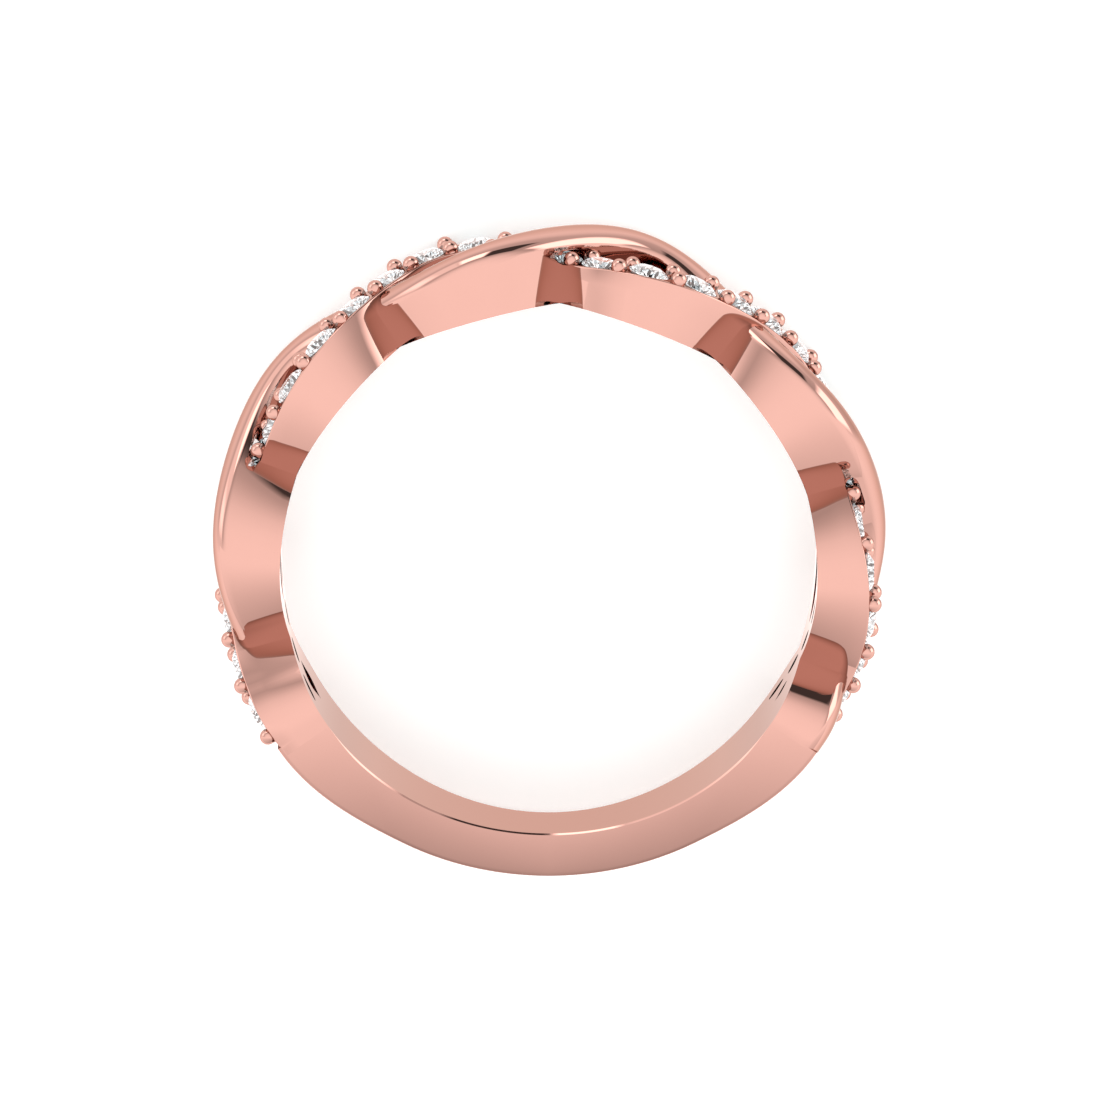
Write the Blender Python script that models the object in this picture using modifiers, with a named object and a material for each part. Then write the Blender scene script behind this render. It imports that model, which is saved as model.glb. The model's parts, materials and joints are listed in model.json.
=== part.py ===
# Half eternity ring in rose gold: a plain strand and a stone-set strand twist round each other over
# the upper two thirds of the finger hole and run into a plain shank.
# The ring lies on its side: the finger hole's axis is Z, and the top of the head is at +Y.
# Angles round the ring are in degrees from +Y, clockwise as seen from above. Sizes are in metres.
import bpy
import bmesh
from math import atan2, ceil, cos, degrees, floor, pi, radians, sin, sqrt
from mathutils import Matrix, Vector

MM = 0.001

# Finger hole
FINGER_RADIUS = 8.65 * MM
FINGER_SIDES = 80
PLAIN_BLANK_RADIUS = 8.36 * MM
STONE_BLANK_RADIUS = 8.28 * MM
SHANK_BLANK_RADIUS = 8.20 * MM
FINGER_HOLE_DEPTH = 16.0 * MM

# Twist of the two strands
TWIST_PERIOD = 72.0
FIRST_CROSSING = 2.445
SWING = 1.77 * MM
STRAND_HALF_WIDTH = 0.77 * MM
SECTION_STEP = 4.5
END_MARGIN = 1.5
TANGENT_STEP = 0.05
PATH_STEP = 0.1
PATH_REACH = 130.0
FACET_ALLOWANCE = 1.0 / cos(radians(SECTION_STEP / 2.0))
LEFT_END = -123.0
RIGHT_END = 123.8
SHOULDER_START = 113.0
SHOULDER_HALF_WIDTH = 2.50 * MM
SHOULDER_OVERLAP = 0.05 * MM

# Plain strand: the height of its domed top, as a mean, a swing and a second swing
PLAIN_TOP = (10.74 * MM, 0.295 * MM, -0.055 * MM)
PLAIN_SHOULDER_TOP = 10.58 * MM
DOME_HEIGHT = 0.50 * MM
DOME_FACETS = 6
PLAIN_RUN_ON = 0.6

# Stone strand: the height of the stones' girdles, as a mean, a swing and a second swing
GIRDLE_LINE = (10.25 * MM, -0.276 * MM, -0.061 * MM)
WALL_ABOVE_GIRDLE = 0.01 * MM
STONE_RUN_ON = 2.0
STONE_PULL_BACK = 0.3
RUN_ON_INSET = 0.02 * MM

# Shank
SHANK_HALF_WIDTH = 1.70 * MM
SHANK_OUTER_RADIUS = 10.07 * MM
SHOULDER_OUTER_RADIUS = 10.43 * MM
SHANK_FLARE_START = 28.0
SHANK_SETBACK = 0.2
SHANK_EDGE = 0.14 * MM
SHANK_SECTIONS = 29

# Stones: round brilliants, nine to each half turn of the twist
STONES_PER_PERIOD = 9
STONES_EACH_WAY = 15
STONE_RADIUS = 0.675 * MM
TABLE_RADIUS = 0.38 * MM
CROWN_HEIGHT = 0.21 * MM
PAVILION_DEPTH = 0.58 * MM
GIRDLE_HALF_THICKNESS = 0.02 * MM
STONE_SIDES = 16

# Seats and pierced slots under the stones
SEAT_GAP = 0.025 * MM
SEAT_SIDES = 12
SEAT_CLEAR_HEIGHT = 0.42 * MM
SLOT_HALF_LENGTH = 0.48 * MM
SLOT_HALF_WIDTH = 0.21 * MM
SLOT_TOP_BELOW_GIRDLE = 0.34 * MM
SLOT_BOTTOM_RADIUS = 7.5 * MM
SLOT_SIDES = 8

# Grain beads, a pair between neighbouring stones
BEAD_RADIUS = 0.26 * MM
BEAD_ABOVE_GIRDLE = 0.14 * MM
BEAD_SIDE_OFFSET = 0.53 * MM
BEAD_FOOT_ANGLE = 54.0
BEAD_SIDES = 10

# Clearance under the plain strand where it bridges the stones
BRIDGE_FLOOR_RADIUS = 0.90 * MM
BRIDGE_RADIUS = 1.20 * MM
BRIDGE_ROUNDING = 0.35 * MM
BRIDGE_CEILING = 10.36 * MM
BRIDGE_FLOOR_BELOW_WALL = 0.03 * MM
BRIDGE_SIDES = 16

# Points of a turned shape nearer than this are one
TURN_MERGE = 0.001 * MM

# Colour, roughness and metallic value
ROSE_GOLD = ((0.93, 0.60, 0.50, 1.0), 0.08, 1.0)
DIAMOND = ((0.96, 0.97, 1.0, 1.0), 0.02, 0.0)


def clear_scene():
    for obj in list(bpy.data.objects):
        bpy.data.objects.remove(obj, do_unlink=True)


def make_collection(name):
    collection = bpy.data.collections.new(name)
    bpy.context.scene.collection.children.link(collection)
    return collection


def make_material(name, look):
    color, roughness, metallic = look
    material = bpy.data.materials.new(name)
    material.use_nodes = True
    shader = material.node_tree.nodes["Principled BSDF"]
    shader.inputs["Base Color"].default_value = color
    shader.inputs["Roughness"].default_value = roughness
    shader.inputs["Metallic"].default_value = metallic
    return material


def add_object(name, bm, collection):
    bmesh.ops.recalc_face_normals(bm, faces=bm.faces)
    mesh = bpy.data.meshes.new(name)
    bm.to_mesh(mesh)
    bm.free()
    obj = bpy.data.objects.new(name, mesh)
    collection.objects.link(obj)
    return obj


def hide_cutter(obj):
    obj.hide_render = True
    obj.display_type = "WIRE"


def smoothstep(low, high, value):
    t = min(max((value - low) / (high - low), 0.0), 1.0)
    return t * t * (3.0 - 2.0 * t)


def mix(a, b, t):
    return a + (b - a) * t


def radial(angle):
    return Vector((sin(radians(angle)), cos(radians(angle)), 0.0))


# The twist. A phase of 0 is the plain strand and 180 the stone strand.
PLAIN_PHASE = 0.0
STONE_PHASE = 180.0


def twist_phase(angle, phase):
    return radians((angle - FIRST_CROSSING) * 360.0 / TWIST_PERIOD + phase)


def strand_z(angle, phase):
    return -SWING * sin(twist_phase(angle, phase))


def waved(line, angle):
    mean, swing, second = line
    wave = twist_phase(angle, PLAIN_PHASE)
    return mean + swing * cos(wave) + second * cos(2.0 * wave)


def girdle_height(angle):
    return waved(GIRDLE_LINE, angle)


def shoulder(angle):
    # 0 along the twist, rising to 1 where a strand runs into the shank
    end = RIGHT_END if angle > 0.0 else -LEFT_END
    return smoothstep(SHOULDER_START, end, abs(angle))


def plain_top(angle):
    return mix(waved(PLAIN_TOP, angle), PLAIN_SHOULDER_TOP, shoulder(angle))


def path_point(angle, phase, height):
    return radial(angle) * height + Vector((0.0, 0.0, strand_z(angle, phase)))


def path_frame(angle, phase, height):
    # Directions along a strand's path, sideways from it and outwards
    ahead = path_point(angle + TANGENT_STEP, phase, height)
    behind = path_point(angle - TANGENT_STEP, phase, height)
    outward = radial(angle)
    sideways = outward.cross(ahead - behind).normalized()
    if sideways.z < 0.0:
        sideways = -sideways
    along = sideways.cross(outward)
    return along, sideways, outward


def strand_edges(angle, phase):
    # Offsets of a strand's two sides from its path. At the shoulders both strands widen until
    # they meet in the middle and reach the shank's full width.
    side = 1.0 if strand_z(angle, phase) > 0.0 else -1.0
    spread = shoulder(angle)
    height = abs(strand_z(angle, phase))
    outer = mix(STRAND_HALF_WIDTH, SHOULDER_HALF_WIDTH - height, spread)
    inner = mix(STRAND_HALF_WIDTH, height + SHOULDER_OVERLAP, spread)
    if not LEFT_END <= angle <= RIGHT_END:
        outer -= RUN_ON_INSET
    if side > 0.0:
        return -inner, outer
    return -outer, inner


def plain_section(angle):
    # Closed outline of (sideways offset, height): straight walls and a domed top
    low, high = strand_edges(angle, PLAIN_PHASE)
    middle = (low + high) / 2.0
    half = (high - low) / 2.0
    top = plain_top(angle)
    outline = [(low, PLAIN_BLANK_RADIUS)]
    for facet in range(DOME_FACETS + 1):
        turn = pi * facet / DOME_FACETS
        outline.append((middle - half * cos(turn), top - DOME_HEIGHT * (1.0 - sin(turn))))
    outline.append((high, PLAIN_BLANK_RADIUS))
    return outline


def stone_section(angle):
    low, high = strand_edges(angle, STONE_PHASE)
    top = girdle_height(angle) + WALL_ABOVE_GIRDLE
    return [(low, STONE_BLANK_RADIUS), (low, top), (high, top), (high, STONE_BLANK_RADIUS)]


def loft(name, rings, collection):
    # Faces between neighbouring rings of points, and a face over each end
    bm = bmesh.new()
    loops = [[bm.verts.new(point) for point in ring] for ring in rings]
    count = len(loops[0])
    for near, far in zip(loops, loops[1:]):
        for i in range(count):
            j = (i + 1) % count
            bm.faces.new((near[i], near[j], far[j], far[i]))
    bm.faces.new(loops[0])
    bm.faces.new(reversed(loops[-1]))
    return add_object(name, bm, collection)


def strand_ring(angle, phase, outline, height):
    sideways = path_frame(angle, phase, height)[1]
    sideways = sideways.lerp(Vector((0.0, 0.0, 1.0)), shoulder(angle)).normalized()
    axis_point = Vector((0.0, 0.0, strand_z(angle, phase)))
    ring = []
    for offset, reach in outline:
        shift = sideways * offset
        flat = Vector((shift.x, shift.y, 0.0))
        # The sideways step is taken round the ring's curve, so that the height holds
        turn = degrees(atan2(flat.dot(radial(angle + 90.0)), height))
        # Heights are raised by the facets' allowance, so that no facet cuts inside the true curve
        outwards = radial(angle + turn) * reach * FACET_ALLOWANCE
        ring.append(axis_point + Vector((0.0, 0.0, shift.z)) + outwards)
    return ring


def strand_angles(run_on, pull_back):
    # Sections fall evenly on both sides of each widest place, which makes it a flat facet
    left = LEFT_END + pull_back
    right = RIGHT_END - pull_back
    steps = range(floor(left / SECTION_STEP), ceil(right / SECTION_STEP))
    angles = [FIRST_CROSSING + (step + 0.5) * SECTION_STEP for step in steps]
    inner = [a for a in angles if left + END_MARGIN < a < right - END_MARGIN]
    return [LEFT_END - run_on, left] + inner + [right, RIGHT_END + run_on]


def make_plain_strand(collection):
    rings = []
    for angle in strand_angles(PLAIN_RUN_ON, 0.0):
        rings.append(strand_ring(angle, PLAIN_PHASE, plain_section(angle), plain_top(angle)))
    return loft("band", rings, collection)


def make_stone_strand(collection):
    rings = []
    for angle in strand_angles(STONE_RUN_ON, STONE_PULL_BACK):
        rings.append(strand_ring(angle, STONE_PHASE, stone_section(angle), girdle_height(angle)))
    strand = loft("stone_strand", rings, collection)
    hide_cutter(strand)
    return strand


def make_shank(collection):
    first = RIGHT_END + SHANK_SETBACK
    last = 360.0 + LEFT_END - SHANK_SETBACK
    rings = []
    for i in range(SHANK_SECTIONS):
        angle = mix(first, last, i / (SHANK_SECTIONS - 1))
        from_bottom = abs(angle - 180.0)
        spread = 180.0 - first if angle < 180.0 else last - 180.0
        flare = sin(pi / 2.0 * from_bottom / spread) ** 2
        half = mix(SHANK_HALF_WIDTH, SHOULDER_HALF_WIDTH, flare)
        rise = smoothstep(SHANK_FLARE_START, spread, from_bottom)
        outer = mix(SHANK_OUTER_RADIUS, SHOULDER_OUTER_RADIUS, rise)
        outline = [
            (-half, SHANK_BLANK_RADIUS),
            (-half, outer - SHANK_EDGE),
            (-half + SHANK_EDGE, outer),
            (half - SHANK_EDGE, outer),
            (half, outer - SHANK_EDGE),
            (half, SHANK_BLANK_RADIUS),
        ]
        outwards = radial(angle) * FACET_ALLOWANCE
        rings.append([outwards * reach + Vector((0.0, 0.0, z)) for z, reach in outline])
    shank = loft("shank", rings, collection)
    hide_cutter(shank)
    return shank


def stone_path():
    # Lengths along the stone strand's path, as (angle, length) rows
    rows = []
    length = 0.0
    last = None
    steps = int(PATH_REACH / PATH_STEP)
    for i in range(-steps, steps + 1):
        angle = FIRST_CROSSING + i * PATH_STEP
        point = path_point(angle, STONE_PHASE, girdle_height(angle))
        if last is not None:
            length += (point - last).length
        rows.append((angle, length))
        last = point
    return rows


def angle_at(rows, length):
    for (a0, l0), (a1, l1) in zip(rows, rows[1:]):
        if l0 <= length <= l1:
            return mix(a0, a1, (length - l0) / (l1 - l0))
    raise ValueError("that length is past the end of the stone strand")


def length_at(rows, angle):
    return min(rows, key=lambda row: abs(row[0] - angle))[1]


def stone_angles():
    # The middle stone is at the first crossing, and nine pitches make one period of the twist
    rows = stone_path()
    middle = length_at(rows, FIRST_CROSSING)
    pitch = (length_at(rows, FIRST_CROSSING + TWIST_PERIOD) - middle) / STONES_PER_PERIOD
    numbers = range(-STONES_EACH_WAY, STONES_EACH_WAY + 1)
    stones = [angle_at(rows, middle + pitch * n) for n in numbers]
    beads = [angle_at(rows, middle + pitch * (n - 0.5)) for n in numbers]
    beads.append(angle_at(rows, middle + pitch * (STONES_EACH_WAY + 0.5)))
    return stones, beads


def seat_matrix(angle, height, offset=0.0):
    # Local X along the path, Y sideways and Z outwards, at a height on the stone strand
    along, sideways, outward = path_frame(angle, STONE_PHASE, girdle_height(angle))
    place = path_point(angle, STONE_PHASE, height) + sideways * offset
    rotation = Matrix((along, sideways, outward)).transposed().to_4x4()
    return Matrix.Translation(place) @ rotation


def turned_mesh(name, profile, sides):
    # A profile of (radius, height), top to bottom, turned about Z
    mesh = bpy.data.meshes.new(name)
    points = [(radius, 0.0, height) for radius, height in profile]
    mesh.from_pydata(points, [(i, i + 1) for i in range(len(points) - 1)], [])
    obj = bpy.data.objects.new(name, mesh)
    bpy.context.scene.collection.objects.link(obj)
    screw = obj.modifiers.new("Turn", "SCREW")
    screw.steps = sides
    screw.render_steps = sides
    screw.use_merge_vertices = True
    screw.merge_threshold = TURN_MERGE
    screw.use_smooth_shade = False
    depsgraph = bpy.context.evaluated_depsgraph_get()
    turned = bpy.data.meshes.new_from_object(obj.evaluated_get(depsgraph))
    bpy.data.objects.remove(obj, do_unlink=True)
    return turned


def join_copies(name, mesh, matrices, collection):
    bm = bmesh.new()
    for matrix in matrices:
        start = len(bm.verts)
        bm.from_mesh(mesh)
        bm.verts.ensure_lookup_table()
        bmesh.ops.transform(bm, matrix=matrix, verts=bm.verts[start:])
    obj = add_object(name, bm, collection)
    hide_cutter(obj)
    return obj


def make_seats(angles, collection):
    # The flats of the seat, not its corners, keep the gap to the stone
    slope = PAVILION_DEPTH / STONE_RADIUS
    tip = -GIRDLE_HALF_THICKNESS - PAVILION_DEPTH - SEAT_GAP * sqrt(1.0 + slope * slope)
    flat = STONE_RADIUS + SEAT_GAP
    corner = flat / cos(pi / SEAT_SIDES)
    profile = [
        (0.0, SEAT_CLEAR_HEIGHT),
        (corner, SEAT_CLEAR_HEIGHT),
        (corner, tip + flat * slope),
        (0.0, tip),
    ]
    seat = turned_mesh("seat", profile, SEAT_SIDES)
    # A flat of the seat, not a corner, faces each side of the wall
    seat.transform(Matrix.Rotation(pi / SEAT_SIDES, 4, "Z"))
    return join_copies("seats", seat, [seat_matrix(a, girdle_height(a)) for a in angles], collection)


def make_slots(angles, collection):
    bm = bmesh.new()
    bmesh.ops.create_cone(bm, cap_ends=True, segments=SLOT_SIDES, radius1=1.0, radius2=1.0, depth=1.0)
    bmesh.ops.rotate(bm, cent=(0, 0, 0), matrix=Matrix.Rotation(pi / SLOT_SIDES, 3, "Z"), verts=bm.verts)
    slot = bpy.data.meshes.new("slot")
    bm.to_mesh(slot)
    bm.free()
    matrices = []
    for angle in angles:
        top = girdle_height(angle) - SLOT_TOP_BELOW_GIRDLE
        bottom = SLOT_BOTTOM_RADIUS
        size = Matrix.Diagonal((SLOT_HALF_LENGTH, SLOT_HALF_WIDTH, top - bottom, 1.0))
        matrices.append(seat_matrix(angle, (top + bottom) / 2.0) @ size)
    return join_copies("slots", slot, matrices, collection)


def make_beads(angles, collection):
    # A ball sunk a little into the wall's top
    turns = [90.0, 45.0, 0.0, -BEAD_FOOT_ANGLE]
    profile = [(BEAD_RADIUS * cos(radians(t)), BEAD_RADIUS * sin(radians(t))) for t in turns]
    profile[0] = (0.0, BEAD_RADIUS)
    profile.append((0.0, profile[-1][1]))
    bead = turned_mesh("bead", profile, BEAD_SIDES)
    matrices = []
    for angle in angles:
        for offset in (-BEAD_SIDE_OFFSET, BEAD_SIDE_OFFSET):
            matrices.append(seat_matrix(angle, girdle_height(angle) + BEAD_ABOVE_GIRDLE, offset))
    return join_copies("beads", bead, matrices, collection)


def bridge_angles():
    # Crossings where the plain strand passes over the stones
    first = ceil((LEFT_END - FIRST_CROSSING) / TWIST_PERIOD)
    last = floor((RIGHT_END - FIRST_CROSSING) / TWIST_PERIOD)
    return [FIRST_CROSSING + TWIST_PERIOD * turn for turn in range(first, last + 1)]


def make_bridges(collection):
    floor_height = girdle_height(FIRST_CROSSING) + WALL_ABOVE_GIRDLE - BRIDGE_FLOOR_BELOW_WALL
    corner = BRIDGE_ROUNDING * (1.0 - sqrt(0.5))
    profile = [
        (0.0, BRIDGE_CEILING),
        (BRIDGE_RADIUS, BRIDGE_CEILING),
        (BRIDGE_RADIUS, floor_height + BRIDGE_ROUNDING),
        (BRIDGE_RADIUS - corner, floor_height + corner),
        (BRIDGE_FLOOR_RADIUS, floor_height),
        (0.0, floor_height),
    ]
    bridge = turned_mesh("bridge", profile, BRIDGE_SIDES)
    matrices = [seat_matrix(angle, 0.0) for angle in bridge_angles()]
    for matrix in matrices:
        matrix.translation.z = 0.0
    return join_copies("bridges", bridge, matrices, collection)


def make_finger_hole(collection):
    bm = bmesh.new()
    bmesh.ops.create_cone(
        bm, cap_ends=True, segments=FINGER_SIDES,
        radius1=FINGER_RADIUS, radius2=FINGER_RADIUS, depth=FINGER_HOLE_DEPTH,
    )
    hole = add_object("finger_hole", bm, collection)
    hide_cutter(hole)
    return hole


def boolean(target, tool, operation):
    # All the tools are closed solids, so that the manifold solver can join and cut them
    modifier = target.modifiers.new(tool.name, "BOOLEAN")
    modifier.object = tool
    modifier.operation = operation
    modifier.solver = "MANIFOLD"
    return modifier


def ring_of_points(bm, radius, height, count, first_turn=0.0):
    turns = [2.0 * pi * i / count + first_turn for i in range(count)]
    return [bm.verts.new((radius * cos(t), radius * sin(t), height)) for t in turns]


def brilliant_mesh():
    # Table, star and kite facets of the crown, a thin girdle, and the pavilion's facets
    bm = bmesh.new()
    half = STONE_SIDES // 2
    girdle = GIRDLE_HALF_THICKNESS
    table = ring_of_points(bm, TABLE_RADIUS, girdle + CROWN_HEIGHT, half)
    upper = ring_of_points(bm, STONE_RADIUS, girdle, STONE_SIDES)
    lower = ring_of_points(bm, STONE_RADIUS, -girdle, STONE_SIDES)
    star_radius = TABLE_RADIUS * 0.5 + STONE_RADIUS * 0.5
    star = ring_of_points(bm, star_radius, girdle + CROWN_HEIGHT * 0.5, half, pi / half)
    culet = bm.verts.new((0.0, 0.0, -girdle - PAVILION_DEPTH))
    bm.faces.new(table)
    for i in range(half):
        j = (i + 1) % half
        bm.faces.new((table[i], star[i], table[j]))
        bm.faces.new((table[i], star[i - 1], upper[2 * i]))
        bm.faces.new((table[i], upper[2 * i], star[i]))
        bm.faces.new((star[i], upper[2 * i], upper[2 * i + 1]))
        bm.faces.new((star[i], upper[2 * i + 1], upper[2 * j]))
    for i in range(STONE_SIDES):
        j = (i + 1) % STONE_SIDES
        bm.faces.new((upper[i], lower[i], lower[j], upper[j]))
        bm.faces.new((lower[i], culet, lower[j]))
    bmesh.ops.recalc_face_normals(bm, faces=bm.faces)
    mesh = bpy.data.meshes.new("brilliant")
    bm.to_mesh(mesh)
    bm.free()
    return mesh


def make_stones(angles, material, collection):
    brilliant = brilliant_mesh()
    brilliant.materials.append(material)
    for number, angle in enumerate(angles, start=1):
        stone = bpy.data.objects.new(f"stone_{number:02d}", brilliant)
        stone.matrix_world = seat_matrix(angle, girdle_height(angle))
        collection.objects.link(stone)


def make_band(stones, beads, parts, cutters, material):
    plain = make_plain_strand(parts)
    plain.data.materials.append(material)
    boolean(plain, make_bridges(cutters), "DIFFERENCE")
    boolean(plain, make_stone_strand(cutters), "UNION")
    boolean(plain, make_shank(cutters), "UNION")
    boolean(plain, make_finger_hole(cutters), "DIFFERENCE")
    boolean(plain, make_slots(stones, cutters), "DIFFERENCE")
    boolean(plain, make_beads(beads, cutters), "UNION")
    boolean(plain, make_seats(stones, cutters), "DIFFERENCE")
    return plain


def put_on_the_floor(parts):
    # The origin goes under the middle of the ring's outer box, at its lowest point
    bpy.context.view_layer.update()
    depsgraph = bpy.context.evaluated_depsgraph_get()
    points = []
    for obj in parts.objects:
        evaluated = obj.evaluated_get(depsgraph)
        points += [evaluated.matrix_world @ v.co for v in evaluated.data.vertices]
    low = Vector([min(p[i] for p in points) for i in range(3)])
    high = Vector([max(p[i] for p in points) for i in range(3)])
    middle = (low + high) / 2.0
    shift = Matrix.Translation((-middle.x, -middle.y, -low.z))
    for obj in bpy.context.scene.objects:
        obj.matrix_world = shift @ obj.matrix_world
    print("shift in mm", [round(value / MM, 4) for value in shift.translation])


def main():
    clear_scene()
    parts = make_collection("half_eternity_ring")
    cutters = make_collection("cutters")
    gold = make_material("rose_gold", ROSE_GOLD)
    diamond = make_material("diamond", DIAMOND)
    stones, beads = stone_angles()
    make_band(stones, beads, parts, cutters, gold)
    make_stones(stones, diamond, parts)
    put_on_the_floor(parts)


main()
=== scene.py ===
import json
from math import cos, pi, radians, sin, sqrt

import bmesh
import bpy
from mathutils import Matrix, Vector


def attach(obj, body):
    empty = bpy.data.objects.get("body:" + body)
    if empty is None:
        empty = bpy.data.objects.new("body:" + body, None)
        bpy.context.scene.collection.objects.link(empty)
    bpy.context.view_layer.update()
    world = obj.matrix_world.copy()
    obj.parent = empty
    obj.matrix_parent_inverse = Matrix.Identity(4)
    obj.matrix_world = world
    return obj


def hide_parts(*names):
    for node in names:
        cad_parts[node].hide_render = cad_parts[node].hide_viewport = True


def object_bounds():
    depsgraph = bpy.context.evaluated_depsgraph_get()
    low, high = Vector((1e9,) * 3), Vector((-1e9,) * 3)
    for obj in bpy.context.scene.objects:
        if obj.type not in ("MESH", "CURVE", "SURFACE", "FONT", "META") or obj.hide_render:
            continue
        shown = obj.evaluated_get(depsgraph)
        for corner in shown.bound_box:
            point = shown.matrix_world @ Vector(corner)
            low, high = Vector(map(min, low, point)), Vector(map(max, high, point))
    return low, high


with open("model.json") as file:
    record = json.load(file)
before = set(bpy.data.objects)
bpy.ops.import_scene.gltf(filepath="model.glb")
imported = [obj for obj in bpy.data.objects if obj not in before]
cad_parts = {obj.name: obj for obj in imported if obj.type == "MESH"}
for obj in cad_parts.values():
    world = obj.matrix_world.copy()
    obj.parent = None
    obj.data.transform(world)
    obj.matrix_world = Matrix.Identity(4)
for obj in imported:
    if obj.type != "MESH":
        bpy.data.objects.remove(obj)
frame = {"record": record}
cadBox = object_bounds()
mm = 0.001
scene = bpy.context.scene

# The ring's axis is the middle of the finger hole's box, its middle plane that of the outer box
fingerBox = frame["record"]["physics"]["openings"][0]["box_m"]
ringCentre = Vector((
    (fingerBox[0][0] + fingerBox[1][0]) / 2,
    (fingerBox[0][1] + fingerBox[1][1]) / 2,
    (cadBox[0][2] + cadBox[1][2]) / 2,
))
print("ring centre in mm:", [round(value / mm, 3) for value in ringCentre])


# Node trees are written as sums: a Value is one output socket that knows the usual operators
class Value:
    def __init__(self, work, socket):
        self.work = work
        self.socket = socket

    def __add__(self, other):
        return self.work.maths("ADD", self, other)

    def __radd__(self, other):
        return self.work.maths("ADD", other, self)

    def __sub__(self, other):
        return self.work.maths("SUBTRACT", self, other)

    def __rsub__(self, other):
        return self.work.maths("SUBTRACT", other, self)

    def __mul__(self, other):
        return self.work.maths("MULTIPLY", self, other)

    def __rmul__(self, other):
        return self.work.maths("MULTIPLY", other, self)

    def __truediv__(self, other):
        return self.work.maths("DIVIDE", self, other)

    def __neg__(self):
        return self.work.maths("MULTIPLY", self, -1.0)

    def __abs__(self):
        return self.work.maths("ABSOLUTE", self)


class NodeWork:
    def __init__(self, tree):
        self.tree = tree

    def add(self, kind, settings=None, sockets=None):
        # Settings first, then what goes into the sockets: links or plain values
        node = self.tree.nodes.new(kind)
        for name, setting in (settings or {}).items():
            if name == "stops":
                self.setStops(node.color_ramp, setting)
            else:
                setattr(node, name, setting)
        for name, value in (sockets or {}).items():
            if isinstance(value, Value):
                self.tree.links.new(value.socket, node.inputs[name])
            else:
                node.inputs[name].default_value = value
        return node

    def get(self, kind, settings=None, sockets=None, output=0):
        return Value(self, self.add(kind, settings, sockets).outputs[output])

    def maths(self, operation, *numbers, clamped=False):
        settings = {"operation": operation, "use_clamp": clamped}
        return self.get("ShaderNodeMath", settings, dict(enumerate(numbers)))

    def clamp(self, number):
        return self.maths("ADD", number, 0.0, clamped=True)

    def vector(self, x, y, z):
        return self.get("ShaderNodeCombineXYZ", None, {"X": x, "Y": y, "Z": z})

    def vectorMaths(self, operation, *vectors):
        return self.get("ShaderNodeVectorMath", {"operation": operation}, dict(enumerate(vectors)))

    def scaled(self, vector, factor):
        return self.get("ShaderNodeVectorMath", {"operation": "SCALE"}, {0: vector, "Scale": factor})

    def parts(self, vector):
        node = self.add("ShaderNodeSeparateXYZ", None, {"Vector": vector})
        return [Value(self, output) for output in node.outputs]

    @staticmethod
    def setStops(ramp, stops):
        while len(ramp.elements) < len(stops):
            ramp.elements.new(1.0)
        for element, (place, colour) in zip(ramp.elements, stops):
            element.position = place
            element.color = colour


# The socket for each kind of setting; a bool is an int as well, so it comes first
socketKinds = {
    bool: "NodeSocketBool",
    float: "NodeSocketFloat",
    int: "NodeSocketInt",
    Vector: "NodeSocketVector",
    bpy.types.Object: "NodeSocketObject",
    bpy.types.Material: "NodeSocketMaterial",
}


class GeometryWork(NodeWork):
    # A geometry tree with one named input for each setting
    def __init__(self, name, settings):
        super().__init__(bpy.data.node_groups.new(name, "GeometryNodeTree"))
        for label, setting in settings.items():
            kind = next(kind for kind in socketKinds if isinstance(setting, kind))
            self.tree.interface.new_socket(label, in_out="INPUT", socket_type=socketKinds[kind])
        self.tree.interface.new_socket("Geometry", in_out="OUTPUT", socket_type="NodeSocketGeometry")
        self.entry = self.tree.nodes.new("NodeGroupInput")

    def given(self, label):
        return Value(self, self.entry.outputs[label])

    def capture(self, curve, field, name):
        # Keeps a field's values on the curve's points: the curve and the kept values
        node = self.tree.nodes.new("GeometryNodeCaptureAttribute")
        node.capture_items.new("FLOAT", name)
        self.tree.links.new(curve.socket, node.inputs[0])
        self.tree.links.new(field.socket, node.inputs[1])
        return Value(self, node.outputs[0]), Value(self, node.outputs[1])

    def finish(self, geometry):
        # Instances become real geometry and everything gets its material
        real = self.get("GeometryNodeRealizeInstances", None, {0: geometry})
        done = self.get("GeometryNodeSetMaterial", None, {0: real, "Material": self.given("material")})
        self.tree.links.new(done.socket, self.tree.nodes.new("NodeGroupOutput").inputs[0])


def growMesh(name, tree, settings):
    # Runs a geometry tree with these settings and keeps the plain mesh
    maker = bpy.data.objects.new(name, bpy.data.meshes.new(name))
    scene.collection.objects.link(maker)
    modifier = maker.modifiers.new("grow", "NODES")
    modifier.node_group = tree
    for item in tree.interface.items_tree:
        if item.in_out == "INPUT":
            modifier[item.identifier] = settings[item.name]
    evaluated = maker.evaluated_get(bpy.context.evaluated_depsgraph_get())
    mesh = bpy.data.meshes.new_from_object(evaluated)
    bpy.data.objects.remove(maker)
    return mesh


def makeObject(name, mesh):
    obj = bpy.data.objects.new(name, mesh)
    scene.collection.objects.link(obj)
    return obj


def meshFrom(bm, name):
    mesh = bpy.data.meshes.new(name)
    bm.to_mesh(mesh)
    bm.free()
    return mesh


mergeDistance = 0.0001 * mm


def closeUp(mesh):
    # Doubles are merged and faces turned outwards
    bm = bmesh.new()
    bm.from_mesh(mesh)
    bmesh.ops.remove_doubles(bm, verts=bm.verts, dist=mergeDistance)
    bmesh.ops.recalc_face_normals(bm, faces=bm.faces)
    bm.to_mesh(mesh)
    bm.free()
    return mesh


def polish(mesh, sharpAngle):
    mesh.shade_smooth()
    mesh.set_sharp_from_angle(angle=radians(sharpAngle))


# These two take plain numbers and Values alike
def mix(low, high, share):
    return low + (high - low) * share


def smooth(share):
    return share * share * (3.0 - 2.0 * share)


def smoothStep(low, high, value):
    return smooth(min(max((value - low) / (high - low), 0.0), 1.0))


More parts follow.
